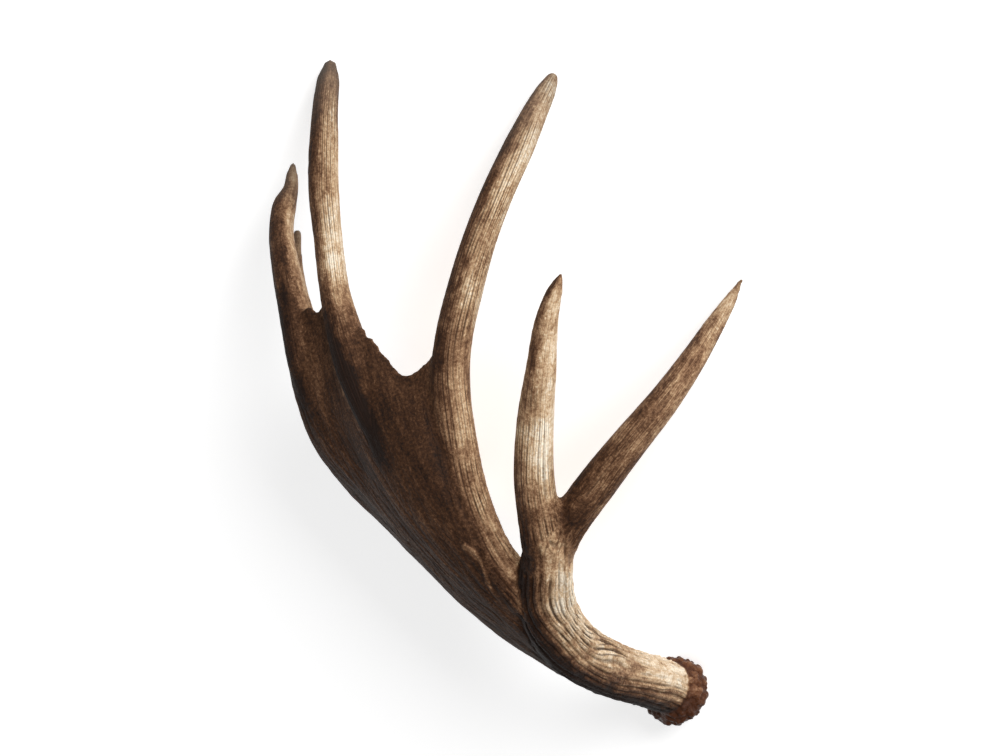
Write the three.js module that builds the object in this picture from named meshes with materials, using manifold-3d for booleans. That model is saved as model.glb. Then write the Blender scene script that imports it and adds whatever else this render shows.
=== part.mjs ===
// A bull moose's right antler, cut from the skull just under its burr and lying hollow side down.
// One bony growth: a short beam that forks into a pair of brow tines and a broad cupped palm.
// The palm carries three long tines in front and four short points along its rear rim.
// Sizes are millimetres. Every branch is drawn in the growth frame, whose origin is the middle of
// the burr, with x across the head, y up and z forward. The finished group is then laid on z = 0.
import * as THREE from "three";
import Module from "manifold-3d";

const wasm = await Module();
wasm.setup();

// Driving dimensions
const GAP = 0.3; // clear space where two pieces meet
const FLUTE = 0.9; // height of the ridges along the beam and the long tines
const FLUTED_WIDTH = 20; // the ridges fade where a branch is narrower than this
const PALM_ROOT = 26; // palm thickness where it leaves the beam
const PALM_MIDDLE = 13; // palm thickness half way out
const PALM_RIM = 9; // palm thickness just inside the rim
const PALM_EDGE = 3; // blunt edge of the rim itself
const PALM_RIB = 1.5; // extra half thickness of the palm's rib into each tine and point
const BURR_RADIUS = 29; // burr, measured between its pearls
const PEARL = 2.8; // how far the pearls stand out of the burr
const PEARLS = 17; // pearls round the burr
const TURN = -137.45; // degrees about the growth frame's z, first
const LEAN = 49.86; // then degrees about the floor's x
const BURR_PLACE = [-265.64, 210.94, 20.84]; // where the middle of the burr lies

// Branches: rows of [x, y, z, width, thickness], from the root to the tip
const beamRows = [
  [2, 3, -2, 46, 44], [-8, 7, 20, 45, 43], [-29, 13, 70, 45, 42], [-56, 21, 125, 46, 42],
  [-82, 38, 185, 48, 42], [-95, 64, 230, 46, 40], [-94, 93, 265, 42, 38], [-91, 112, 284, 36, 32],
];
const outerBrowRows = [
  [-91, 91, 265, 38, 34], [-96, 126, 295, 34, 30], [-99, 160, 315, 32, 28], [-96, 202, 335, 29, 26],
  [-90, 237, 355, 24, 22], [-85, 269, 370, 19, 18], [-78, 292, 378, 13, 13], [-72, 305, 382, 4, 4],
];
const innerBrowRows = [
  [-95, 89, 255, 32, 32], [-78, 121, 285, 31, 30], [-50, 156, 305, 31, 28], [-24, 186, 320, 28, 26],
  [0, 214, 325, 25, 23], [22, 245, 322, 21, 20], [40, 275, 313, 16, 16], [52, 296, 302, 11, 11],
  [61, 314, 292, 4, 4],
];
const frontTineRows = [
  [-108, 69, 236, 34, 28], [-136, 105, 256, 32, 27], [-153, 148, 270, 31, 27],
  [-162, 193, 280, 31, 27], [-167, 236, 287, 32, 27], [-163, 271, 298, 30, 27],
  [-153, 308, 308, 29, 26], [-141, 344, 318, 27, 25], [-126, 380, 325, 26, 23],
  [-109, 415, 329, 25, 22], [-95, 445, 329, 20, 18], [-87, 461, 328, 16, 14], [-83, 470, 327, 10, 9],
];
const middleTineRows = [
  [-214, 178, 260, 12, 8], [-230, 214, 259, 28, 15], [-246, 252, 251, 34, 21],
  [-258, 286, 242, 30, 24], [-267, 320, 237, 25, 23], [-273, 364, 236, 24, 22], [-277, 404, 236, 26, 22],
  [-278, 441, 232, 25, 22], [-278, 476, 225, 22, 20], [-277, 500, 218, 20, 18],
  [-276, 513, 215, 12, 11],
];
const rearTineRows = [
  [-277, 214, 206, 14, 12], [-288, 241, 208, 26, 20], [-296, 269, 207, 30, 24], [-303, 303, 203, 30, 27],
  [-315, 347, 192, 24, 26], [-322, 383, 178, 21, 22], [-321, 406, 169, 21, 20],
  [-317, 420, 164, 14, 15], [-317, 434, 158, 11, 11], [-317, 444, 154, 6, 6],
];
// Four flat points of the rear rim, the one next to the rear tine first. Each is as thick across
// its face as the rim that it grows from.
const rearPoints = [
  {
    face: [-0.95, -0.24, -0.2],
    rows: [[-291, 250, 155, 24, 7], [-296, 272, 156, 44, 10], [-299, 292, 156, 34, 11],
      [-304, 315, 154, 21, 11], [-311, 347, 150, 14, 9], [-314, 368, 147, 11, 9], [-314, 387, 145, 9, 8]],
  },
  {
    face: [-0.87, -0.1, -0.49],
    rows: [[-255, 238, 94, 24, 7], [-259, 256, 96, 44, 10], [-262, 272, 98, 38, 11],
      [-265, 287, 98, 22, 11], [-267, 303, 96, 14, 9], [-268, 312, 95, 9, 7], [-268, 319, 94, 3, 3]],
  },
  {
    face: [-0.92, -0.37, -0.11],
    rows: [[-231, 211, 40, 24, 7], [-237, 227, 42, 44, 10], [-242, 243, 44, 38, 11],
      [-248, 257, 44, 22, 11], [-254, 271, 40, 14, 9], [-257, 279, 37, 9, 7], [-259, 286, 35, 3, 3]],
  },
  {
    face: [-0.77, -0.64, -0.05],
    rows: [[-195, 167, 6, 14, 7], [-204, 182, 2, 24, 10], [-212, 195, -4, 22, 11],
      [-220, 207, -11, 17, 10], [-227, 216, -17, 11, 8], [-231, 222, -21, 4, 4]],
  },
];

// Row number at which the beam's own solid starts, inside the burr, and at which each tine is
// parted from the piece that it grew from
const BEAM_START = 0.1;
const OUTER_BROW_CUT = 2;
const INNER_BROW_CUT = 1.75;
const FRONT_TINE_CUT = 5.25;
const MIDDLE_TINE_CUT = 4;
const REAR_TINE_CUT = 3.5;

// Middle surface of the palm: spokes from the beam out to the rim, front edge first.
// Even spokes run into a tine or point and odd ones end in the notch between two of them.
const spokes = [
  [[-103, 69, 235], [-131, 105, 255], [-151, 148, 270], [-162, 193, 280], [-168, 272, 295]],
  [[-98, 53, 215], [-147, 105, 260], [-174, 159, 280], [-190, 207, 280], [-204, 246, 273]],
  [[-93, 37, 195], [-155, 92, 240], [-202, 152, 260], [-238, 220, 255], [-251, 294, 245]],
  [[-89, 31, 182], [-161, 85, 215], [-217, 144, 228], [-262, 219, 228], [-284, 307, 223]],
  [[-84, 26, 170], [-163, 78, 190], [-231, 147, 199], [-288, 214, 202], [-313, 298, 202]],
  [[-84, 24, 155], [-164, 75, 163], [-223, 131, 166], [-277, 191, 173], [-300, 284, 186]],
  [[-81, 22, 140], [-161, 75, 136], [-217, 132, 136], [-265, 191, 141], [-298, 290, 158]],
  [[-77, 21, 128], [-154, 78, 110], [-208, 136, 108], [-256, 196, 113], [-274, 281, 129]],
  [[-73, 20, 115], [-144, 81, 86], [-198, 140, 80], [-243, 199, 85], [-262, 271, 99]],
  [[-69, 20, 110], [-136, 82, 68], [-188, 140, 58], [-227, 194, 63], [-244, 249, 79]],
  [[-66, 20, 108], [-130, 83, 56], [-179, 139, 36], [-220, 196, 36], [-241, 243, 46]],
  [[-64, 20, 107], [-127, 83, 50], [-174, 136, 20], [-204, 176, 14], [-223, 204, 18]],
  [[-63, 20, 106], [-124, 86, 46], [-168, 136, 11], [-194, 168, -4], [-210, 190, -9]],
];

// Turn a list of vertices and triangles into a manifold solid
function toSolid(vertices, triangles) {
  const vertProperties = new Float32Array(vertices.flatMap((v) => [v.x, v.y, v.z]));
  const triVerts = new Uint32Array(triangles.flat());
  return new wasm.Manifold(new wasm.Mesh({ numProp: 3, vertProperties, triVerts }));
}

// Closed skin over a stack of equal rings of points, fanned to a middle point at either end
function skin(rings, middles) {
  const sides = rings[0].length;
  const vertices = [...rings.flat(), ...middles];
  const top = (rings.length - 1) * sides;
  const [foot, tip] = [vertices.length - 2, vertices.length - 1];
  const triangles = [];
  for (let side = 0; side < sides; side += 1) {
    const next = (side + 1) % sides;
    for (let ring = 0; ring < top; ring += sides) {
      const [a, b] = [ring + side, ring + next];
      triangles.push([a, b, b + sides], [a, b + sides, a + sides]);
    }
    triangles.push([foot, next, side], [tip, top + side, top + next]);
  }
  return toSolid(vertices, triangles);
}

// Branch swept along its rows between two row numbers: oval sections with a ridge at every other
// corner, faded out towards the tip, and flat ends
function sweep(rows, from, to, { sides, steps, flute = FLUTE, face = [0, 0, 1], grow = 0 }) {
  const last = rows.length - 1;
  const path = new THREE.CatmullRomCurve3(rows.map((row) => new THREE.Vector3(...row)));
  const faceWay = new THREE.Vector3(...face);
  const rings = [];
  for (let step = 0; step <= steps; step += 1) {
    const at = from + ((to - from) * step) / steps;
    const below = Math.min(Math.floor(at), last - 1);
    const [width, thickness] = [3, 4].map((k) =>
      THREE.MathUtils.lerp(rows[below][k], rows[below + 1][k], at - below));
    const centre = path.getPoint(at / last);
    const along = path.getTangent(at / last);
    const out = faceWay.clone().addScaledVector(along, -faceWay.dot(along)).normalize();
    const across = new THREE.Vector3().crossVectors(out, along);
    const ridge = flute * Math.min(1, width / FLUTED_WIDTH);
    rings.push(Array.from({ length: sides }, (_, side) => {
      const angle = (2 * Math.PI * side) / sides;
      const lift = grow + (side % 2 === 0 ? ridge / 2 : -ridge / 2);
      return centre.clone()
        .addScaledVector(across, (width / 2 + lift) * Math.cos(angle))
        .addScaledVector(out, (thickness / 2 + lift) * Math.sin(angle));
    }));
  }
  return skin(rings, [path.getPoint(from / last), path.getPoint(to / last)]);
}

// Burr: a ring of pearls round the foot of the beam, flat under it where the antler was cut off.
// Its profile is turned round the first stretch of the beam, and uneven pearls swell each section.
function burr(grow) {
  const foot = new THREE.Vector3(...beamRows[0]);
  const along = new THREE.Vector3(...beamRows[1]).sub(foot).normalize();
  const across = new THREE.Vector3(0, 1, 0).cross(along).normalize();
  const out = new THREE.Vector3().crossVectors(along, across);
  const profile = [ // height above the cut, radius less the burr's own, share of the pearls
    [0, -8, 0], [3, -3, 0.5], [8, 0, 1], [14, 0, 1], [20, -4, 0.6], [28, -9, 0],
  ];
  const rings = profile.map(([height, inset, share]) =>
    Array.from({ length: 2 * PEARLS }, (_, side) => {
      const angle = (Math.PI * side) / PEARLS;
      const size = 0.7 + 0.35 * Math.sin(3 * angle + 1) + 0.25 * Math.sin(5 * angle);
      const pearl = side % 2 === 0 ? share * PEARL * size : -share;
      const radius = BURR_RADIUS + inset + pearl + grow;
      return foot.clone().addScaledVector(along, height)
        .addScaledVector(across, radius * Math.cos(angle))
        .addScaledVector(out, radius * Math.sin(angle));
    }));
  const top = foot.clone().addScaledVector(along, profile[profile.length - 1][0]);
  return skin(rings, [foot, top]);
}

// Palm blade: spokes are threaded by cross curves into one cupped surface, which is thickened on
// both sides. It thins from the beam to the rim, with a rib into every point and shallow ridges.
function blade({ across, along }) {
  const spokeCurves = spokes.map((spoke) =>
    new THREE.CatmullRomCurve3(spoke.map((point) => new THREE.Vector3(...point))));
  const grid = [];
  for (let row = 0; row <= along; row += 1) {
    const ring = new THREE.CatmullRomCurve3(spokeCurves.map((curve) => curve.getPoint(row / along)));
    grid.push(Array.from({ length: across + 1 }, (_, column) => ring.getPoint(column / across)));
  }
  const halfThickness = (row, column) => {
    const outward = row / along;
    const spoke = (column / across) * (spokes.length - 1);
    const rib = PALM_RIB * outward * Math.cos((Math.PI * spoke) / 2) ** 2;
    const middle = outward < 0.5
      ? THREE.MathUtils.lerp(PALM_ROOT, PALM_MIDDLE, THREE.MathUtils.smoothstep(outward, 0, 0.4))
      : THREE.MathUtils.lerp(PALM_MIDDLE, PALM_RIM, (outward - 0.5) * 2);
    const fromEdge = Math.min(along - row, column, across - column);
    const full = middle / 2 + rib;
    return THREE.MathUtils.lerp(PALM_EDGE / 2, full, Math.min(1, fromEdge / 2) ** 0.6);
  };
  const faces = [[], []];
  for (let row = 0; row <= along; row += 1) {
    for (let column = 0; column <= across; column += 1) {
      const point = grid[row][column];
      const byRow = grid[Math.min(row + 1, along)][column].clone()
        .sub(grid[Math.max(row - 1, 0)][column]);
      const byColumn = grid[row][Math.min(column + 1, across)].clone()
        .sub(grid[row][Math.max(column - 1, 0)]);
      const normal = byColumn.cross(byRow).normalize();
      const half = halfThickness(row, column);
      const ridge = column % 2 === 0 ? FLUTE / 3 : -FLUTE / 3;
      faces[0].push(point.clone().addScaledVector(normal, half + ridge));
      faces[1].push(point.clone().addScaledVector(normal, -half));
    }
  }
  const vertices = faces.flat();
  const triangles = [];
  const width = across + 1;
  const under = faces[0].length;
  for (let row = 0; row < along; row += 1) {
    for (let column = 0; column < across; column += 1) {
      const a = row * width + column;
      const [b, c, d] = [a + 1, a + width + 1, a + width];
      triangles.push([a, b, c], [a, c, d], [under + a, under + c, under + b],
        [under + a, under + d, under + c]);
    }
  }
  const rim = [];
  for (let column = 0; column < across; column += 1) rim.push(column);
  for (let row = 0; row < along; row += 1) rim.push(row * width + across);
  for (let column = across; column > 0; column -= 1) rim.push(along * width + column);
  for (let row = along; row > 0; row -= 1) rim.push(row * width);
  rim.forEach((a, i) => {
    const b = rim[(i + 1) % rim.length];
    triangles.push([a, under + a, under + b], [a, under + b, b]);
  });
  return toSolid(vertices, triangles);
}

// Row number a gap's width short of a cut
function shortOf(rows, cut) {
  const below = Math.min(Math.floor(cut - 1e-6), rows.length - 2);
  const step = new THREE.Vector3(...rows[below]).distanceTo(new THREE.Vector3(...rows[below + 1]));
  return cut - GAP / step;
}

// Beam with its burr and the roots of both brow tines
function trunk(grow) {
  const end = beamRows.length - 1;
  const root = { sides: 16, steps: 5, grow };
  return sweep(beamRows, BEAM_START, end, { sides: 22, steps: 18, grow })
    .add(burr(grow))
    .add(sweep(outerBrowRows, 0, shortOf(outerBrowRows, OUTER_BROW_CUT), root))
    .add(sweep(innerBrowRows, 0, shortOf(innerBrowRows, INNER_BROW_CUT), root));
}

// Palm blade with the roots of its three tines and its four points, cut clear of the trunk
function palm() {
  const root = { sides: 16, steps: 7 };
  const point = { sides: 10, steps: 8, flute: 0 };
  let body = blade({ across: 36, along: 16 })
    .add(sweep(frontTineRows, 0, shortOf(frontTineRows, FRONT_TINE_CUT), { sides: 16, steps: 10 }))
    .add(sweep(middleTineRows, 0, shortOf(middleTineRows, MIDDLE_TINE_CUT), root))
    .add(sweep(rearTineRows, 0, shortOf(rearTineRows, REAR_TINE_CUT), root));
  for (const { face, rows } of rearPoints) {
    body = body.add(sweep(rows, 0, rows.length - 1, { ...point, face }));
  }
  return body.subtract(trunk(GAP));
}

// A tine beyond its cut
function tine(rows, cut, steps) {
  return sweep(rows, cut, rows.length - 1, { sides: 16, steps });
}

const bone = new THREE.MeshStandardMaterial({ color: 0xa8875f, roughness: 0.7, metalness: 0 });
const stained = new THREE.MeshStandardMaterial({ color: 0x553d2a, roughness: 0.75, metalness: 0 });

function piece(name, solid, material) {
  const { numProp, vertProperties, triVerts } = solid.getMesh();
  const geometry = new THREE.BufferGeometry();
  geometry.setAttribute("position", new THREE.BufferAttribute(vertProperties, numProp));
  geometry.setIndex(new THREE.BufferAttribute(triVerts, 1));
  geometry.computeVertexNormals();
  const mesh = new THREE.Mesh(geometry, material);
  mesh.name = name;
  return mesh;
}

const growth = new THREE.Group();
growth.add(
  piece("beam", trunk(0), bone),
  piece("brow_tine_outer", tine(outerBrowRows, OUTER_BROW_CUT, 14), bone),
  piece("brow_tine_inner", tine(innerBrowRows, INNER_BROW_CUT, 16), bone),
  piece("palm", palm(), stained),
  piece("palm_tine_front", tine(frontTineRows, FRONT_TINE_CUT, 20), bone),
  piece("palm_tine_middle", tine(middleTineRows, MIDDLE_TINE_CUT, 18), bone),
  piece("palm_tine_rear", tine(rearTineRows, REAR_TINE_CUT, 12), bone),
);

// Lying hollow side down on the burr, the last rear point and the tip of the inner brow tine, with
// the origin on the floor under the middle of the whole antler
growth.rotation.set(THREE.MathUtils.degToRad(LEAN), 0, THREE.MathUtils.degToRad(TURN));
growth.position.set(...BURR_PLACE);

const antler = new THREE.Group();
antler.add(growth);

export default antler;
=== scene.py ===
import bpy
import numpy as np
from mathutils import Matrix


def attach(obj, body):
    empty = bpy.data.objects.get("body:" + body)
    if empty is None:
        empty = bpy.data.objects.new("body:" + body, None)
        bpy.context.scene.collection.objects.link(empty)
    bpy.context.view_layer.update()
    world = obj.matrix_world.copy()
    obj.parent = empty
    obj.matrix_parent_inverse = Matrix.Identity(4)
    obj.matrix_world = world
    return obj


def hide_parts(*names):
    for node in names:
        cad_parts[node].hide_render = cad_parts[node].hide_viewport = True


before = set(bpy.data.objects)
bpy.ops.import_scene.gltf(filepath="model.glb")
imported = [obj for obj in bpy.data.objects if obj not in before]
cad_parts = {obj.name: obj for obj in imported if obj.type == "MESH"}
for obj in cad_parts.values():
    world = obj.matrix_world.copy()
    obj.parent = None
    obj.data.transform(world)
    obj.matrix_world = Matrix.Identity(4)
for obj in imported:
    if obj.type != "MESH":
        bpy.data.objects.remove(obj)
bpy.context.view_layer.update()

# A bull moose's right antler, cut from the skull under its burr and lying hollow side down. It is
# one growth of bone, so its branches are first shaped one by one, in millimetres, in the frame in
# which it grew: x across the head, y up and z forward from the middle of the burr. Then they are
# fused into one skin, which is grooved, stained and laid on the floor.


# ------------------------------------------------------------------------------------------ beam
# The beam is the short round trunk that leaves the skull sideways and turns up to the fork of the
# brow tines. It is dense grown bone, deeply grooved lengthwise where the velvet's veins lay.
BEAM_ROWS = [  # x, y, z, width, thickness from the root to the fork
    [2, 3, -2, 46, 44], [-8, 7, 20, 45, 43], [-29, 13, 70, 45, 42], [-56, 21, 125, 46, 42],
    [-82, 38, 185, 48, 42], [-95, 64, 230, 46, 40], [-94, 93, 265, 42, 38], [-91, 112, 284, 36, 32],
]
TUBE_SIDES = 36
RING_PITCH = 2.5
TIP_TURNS = np.radians([28, 52, 74])

growths = []  # (vertices, triangles) of each rough closed shape
branches = {}  # centre line and looks of each branch


def unit(vectors):
    """Vectors along the last axis divided by their lengths."""
    return vectors / np.maximum(np.linalg.norm(vectors, axis=-1, keepdims=True), 1e-9)


def curve(points, at):
    """Smooth curve through points listed along the first axis, at the point numbers `at`. Each
    stretch is a cubic through its two ends, with end slopes that weigh the neighbouring points by
    the square roots of their distances."""
    points = np.asarray(points, float)
    padded = np.concatenate([2 * points[:1] - points[1:2], points, 2 * points[-1:] - points[-2:-1]])
    chord = np.sqrt(np.linalg.norm(np.diff(padded, axis=0), axis=-1))[..., None]
    below = np.clip(np.floor(at).astype(int), 0, len(points) - 2)
    share = (at - below).reshape((-1,) + (1,) * (points.ndim - 1))
    p0, p1, p2, p3 = (padded[below + k] for k in range(4))
    d0, d1, d2 = (chord[below + k] for k in range(3))
    leave = ((p1 - p0) / d0 - (p2 - p0) / (d0 + d1) + (p2 - p1) / d1) * d1
    reach = ((p2 - p1) / d1 - (p3 - p1) / (d1 + d2) + (p3 - p2) / d2) * d1
    square = 3 * (p2 - p1) - 2 * leave - reach
    cube = 2 * (p1 - p2) + leave + reach
    return p1 + share * (leave + share * (square + share * cube))


def ring_triangles(rings, sides):
    """Two triangles for every cell between neighbouring rings of points, and a fan at each end.
    The middle of the first ring and of the last one are the two points after all the rings."""
    side, after = np.arange(sides), (np.arange(sides) + 1) % sides
    below = np.arange(rings - 1)[:, None] * sides
    a, b = (below + side).ravel(), (below + after).ravel()
    foot, tip = np.full(sides, rings * sides), np.full(sides, rings * sides + 1)
    top = (rings - 1) * sides
    return np.concatenate([
        np.stack([a, b, b + sides], 1), np.stack([a, b + sides, a + sides], 1),
        np.stack([foot, after, side], 1), np.stack([tip, top + side, top + after], 1),
    ])


def grow_branch(name, rows, tone, groove, grey, face=(0, 0, 1)):
    """Closed oval tube round the curve through its rows, as wide and thick as they say, with a
    rounded tip of three shrinking rings. Its front is turned to `face` as far as its own way
    allows. Tone, groove and grey are looks from root to tip."""
    rows = np.asarray(rows, float)
    last = len(rows) - 1
    length = np.linalg.norm(np.diff(rows[:, :3], axis=0), axis=1).sum()
    at = np.linspace(0, last, int(length / RING_PITCH) + 2)
    centre = curve(rows[:, :3], at)
    along = unit(np.gradient(centre, axis=0))
    half = np.stack([np.interp(at, np.arange(last + 1), rows[:, k]) for k in (3, 4)], 1) / 2
    travelled = np.concatenate([[0], np.cumsum(np.linalg.norm(np.diff(centre, axis=0), axis=1))])
    face = np.array(face, float)
    out = unit(face - (along @ face)[:, None] * along)
    across = np.cross(out, along)
    branches[name] = {
        "centre": centre, "along": along, "across": across, "out": out, "half": half,
        "travelled": travelled, "row": at, "tone": tone, "groove": groove, "grey": grey,
    }
    tip = centre[-1] + along[-1] * half[-1].mean() * np.sin(TIP_TURNS)[:, None]
    centre = np.vstack([centre, tip])
    half = np.vstack([half, half[-1] * np.cos(TIP_TURNS)[:, None]])
    across, out = (np.vstack([way, np.repeat(way[-1:], 3, 0)]) for way in (across, out))
    angle = np.linspace(0, 2 * np.pi, TUBE_SIDES, endpoint=False)[None, :, None]
    rings = (centre[:, None] + half[:, None, :1] * np.cos(angle) * across[:, None]
             + half[:, None, 1:] * np.sin(angle) * out[:, None])
    vertices = np.vstack([rings.reshape(-1, 3), centre[:1], centre[-1:]])
    growths.append((vertices, ring_triangles(len(centre), TUBE_SIDES)))


grow_branch("beam", BEAM_ROWS, tone=(0.7, 0.62, 0.95), groove=(0.9, 1.0, 1.0), grey=(0, 0, 0))


# ------------------------------------------------------------------------------------------ burr
# The burr is the crown of bony pearls round the foot of the beam, rubbed glossy and stained by
# resin. Under it is the rough flat face where the antler was sawn from the skull.
BURR_RADIUS = 29
BURR_PROFILE = [  # height above the saw cut, radius less the burr's own
    [0, -8], [3, -3], [8, 0], [14, 0], [20, -4], [28, -9],
]
BURR_SIDES = 48
PEARL_COUNT = 140
PEARL_HEIGHTS = (3, 25)  # above the saw cut
PEARL_SIZES = (1.5, 3.7)
BEAM_PEARL_COUNT = 40
BEAM_PEARL_PLACES = (28, 62)  # along the beam
BEAM_PEARL_SIZES = (1.4, 2.6)

random = np.random.default_rng(27)
burr_foot = np.array(BEAM_ROWS[0][:3], float)
burr_along = unit(np.array(BEAM_ROWS[1][:3], float) - burr_foot)
burr_across = unit(np.cross([0, 1, 0], burr_along))
burr_out = np.cross(burr_along, burr_across)


def round_burr(height, radius, angle):
    """Points at a height, a radius and an angle round the burr's own axis."""
    height, radius, angle = np.broadcast_arrays(height, radius, angle)
    return (burr_foot + height[..., None] * burr_along
            + (radius * np.cos(angle))[..., None] * burr_across
            + (radius * np.sin(angle))[..., None] * burr_out)


profile = np.array(BURR_PROFILE, float)
angles = np.linspace(0, 2 * np.pi, BURR_SIDES, endpoint=False)
rings = round_burr(profile[:, :1], BURR_RADIUS + profile[:, 1:], angles)
ends = round_burr(profile[[0, -1], 0], 0, 0)
growths.append((np.vstack([rings.reshape(-1, 3), ends]), ring_triangles(len(profile), BURR_SIDES)))

# Pearls sit in a scattered ring on the burr, and smaller ones run up the beam
height = random.uniform(*PEARL_HEIGHTS, PEARL_COUNT)
radius = BURR_RADIUS + np.interp(height, profile[:, 0], profile[:, 1])
pearls = round_burr(height, radius, random.uniform(0, 2 * np.pi, PEARL_COUNT))
pearl_sizes = random.uniform(*PEARL_SIZES, PEARL_COUNT)
beam = branches["beam"]
ring = np.searchsorted(beam["travelled"], random.uniform(*BEAM_PEARL_PLACES, BEAM_PEARL_COUNT))
angle = random.uniform(0, 2 * np.pi, BEAM_PEARL_COUNT)[:, None]
pearls = np.vstack([
    pearls,
    beam["centre"][ring] + beam["half"][ring, :1] * np.cos(angle) * beam["across"][ring]
    + beam["half"][ring, 1:] * np.sin(angle) * beam["out"][ring],
])
pearl_sizes = np.append(pearl_sizes, random.uniform(*BEAM_PEARL_SIZES, BEAM_PEARL_COUNT))


# ------------------------------------------------------------------------------------ brow tines
# Two long tapered tines stand over the brow. They fork from the end of the beam, where the grain
# swirls round the crotch, and their tips are rubbed pale and smooth.
OUTER_BROW_ROWS = [
    [-91, 91, 265, 38, 34], [-96, 126, 295, 34, 30], [-99, 160, 315, 32, 28], [-96, 202, 335, 29, 26],
    [-90, 237, 355, 24, 22], [-85, 269, 370, 19, 18], [-78, 292, 378, 13, 13], [-72, 305, 382, 4, 4],
]
INNER_BROW_ROWS = [
    [-95, 89, 255, 32, 32], [-78, 121, 285, 31, 30], [-50, 156, 305, 31, 28], [-24, 186, 320, 28, 26],
    [0, 214, 325, 25, 23], [22, 245, 322, 21, 20], [40, 275, 313, 16, 16], [52, 296, 302, 11, 11],
    [61, 314, 292, 4, 4],
]
OUTER_BROW_CUT, INNER_BROW_CUT = 2, 1.75  # row numbers at which they are parted from the beam

grow_branch("outer_brow", OUTER_BROW_ROWS, tone=(0.32, 0.92, 0.52), groove=(1.0, 0.8, 0.4),
            grey=(0, 0, 0))
grow_branch("inner_brow", INNER_BROW_ROWS, tone=(0.14, 0.5, 0.7), groove=(0.9, 0.8, 0.45),
            grey=(0, 0, 0))


# ------------------------------------------------------------------------------------------ palm
# The palm is the broad cupped blade of the antler. Its outer face is stained nearly black-brown by
# bark and mud and streaked along the fan of its growth; the hollow inner face is pale and veined.
PALM_ROOT, PALM_MIDDLE, PALM_RIM = 26, 13, 9  # thickness by the beam, half-way out and at the rim
PALM_EDGE = 3  # thickness at its very edge, before that swells to the rest
PALM_RIB = 1.5  # how far the ribs into the tines and points stand up on each face, at the rim
EDGE_REACH = (2 / 36, 2 / 16)  # share of the palm over which its edge swells, across and outward
BLADE_CELLS = (108, 48)  # cells of the sheet that is shaped, across and outward
SHEET_CELLS = (72, 32)  # cells of the sheet from which the skin is measured
SPOKES = np.array([  # middle surface, from the beam to the rim, front edge first
    [[-103, 69, 235], [-131, 105, 255], [-151, 148, 270], [-162, 193, 280], [-168, 272, 295]],
    [[-98, 53, 215], [-147, 105, 260], [-174, 159, 280], [-190, 207, 280], [-204, 246, 273]],
    [[-93, 37, 195], [-155, 92, 240], [-202, 152, 260], [-238, 220, 255], [-251, 294, 245]],
    [[-89, 31, 182], [-161, 85, 215], [-217, 144, 228], [-262, 219, 228], [-284, 307, 223]],
    [[-84, 26, 170], [-163, 78, 190], [-231, 147, 199], [-288, 214, 202], [-313, 298, 202]],
    [[-84, 24, 155], [-164, 75, 163], [-223, 131, 166], [-277, 191, 173], [-300, 284, 186]],
    [[-81, 22, 140], [-161, 75, 136], [-217, 132, 136], [-265, 191, 141], [-298, 290, 158]],
    [[-77, 21, 128], [-154, 78, 110], [-208, 136, 108], [-256, 196, 113], [-274, 281, 129]],
    [[-73, 20, 115], [-144, 81, 86], [-198, 140, 80], [-243, 199, 85], [-262, 271, 99]],
    [[-69, 20, 110], [-136, 82, 68], [-188, 140, 58], [-227, 194, 63], [-244, 249, 79]],
    [[-66, 20, 108], [-130, 83, 56], [-179, 139, 36], [-220, 196, 36], [-241, 243, 46]],
    [[-64, 20, 107], [-127, 83, 50], [-174, 136, 20], [-204, 176, 14], [-223, 204, 18]],
    [[-63, 20, 106], [-124, 86, 46], [-168, 136, 11], [-194, 168, -4], [-210, 190, -9]],
], float)
SCAR = np.array([[-157, 110], [-151, 106], [-146, 99], [-141, 86], [-136, 71]], float)


def palm_sheet(across, outward):
    """The palm's middle surface: a curve along each spoke, threaded by curves that run across all
    the spokes. Returns points, the way outward and the surface's normal, and the two shares."""
    spoke_points = curve(np.swapaxes(SPOKES, 0, 1), np.linspace(0, 4, outward + 1))
    points = curve(np.swapaxes(spoke_points, 0, 1), np.linspace(0, len(SPOKES) - 1, across + 1))
    onward = unit(np.gradient(points, axis=1))
    normal = unit(np.cross(np.gradient(points, axis=0), np.gradient(points, axis=1)))
    shares = np.meshgrid(np.linspace(0, 1, across + 1), np.linspace(0, 1, outward + 1), indexing="ij")
    return points, onward, normal, shares


def palm_half_thickness(across, outward):
    """Half the palm's thickness: it falls from the beam to the rim, with a rib into each tine and
    point, and rounds off within a short reach of its edge."""
    early = np.clip(outward / 0.4, 0, 1)
    middle = np.where(
        outward < 0.5,
        PALM_ROOT + (PALM_MIDDLE - PALM_ROOT) * early**2 * (3 - 2 * early),
        PALM_MIDDLE + (PALM_RIM - PALM_MIDDLE) * (2 * outward - 1),
    )
    rib = PALM_RIB * outward * np.cos(np.pi * across * (len(SPOKES) - 1) / 2) ** 2
    near = np.minimum(np.minimum(across, 1 - across) / EDGE_REACH[0], (1 - outward) / EDGE_REACH[1])
    swell = np.clip(near, 0, 1) ** 0.6
    return PALM_EDGE / 2 + (middle / 2 + rib - PALM_EDGE / 2) * swell


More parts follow.
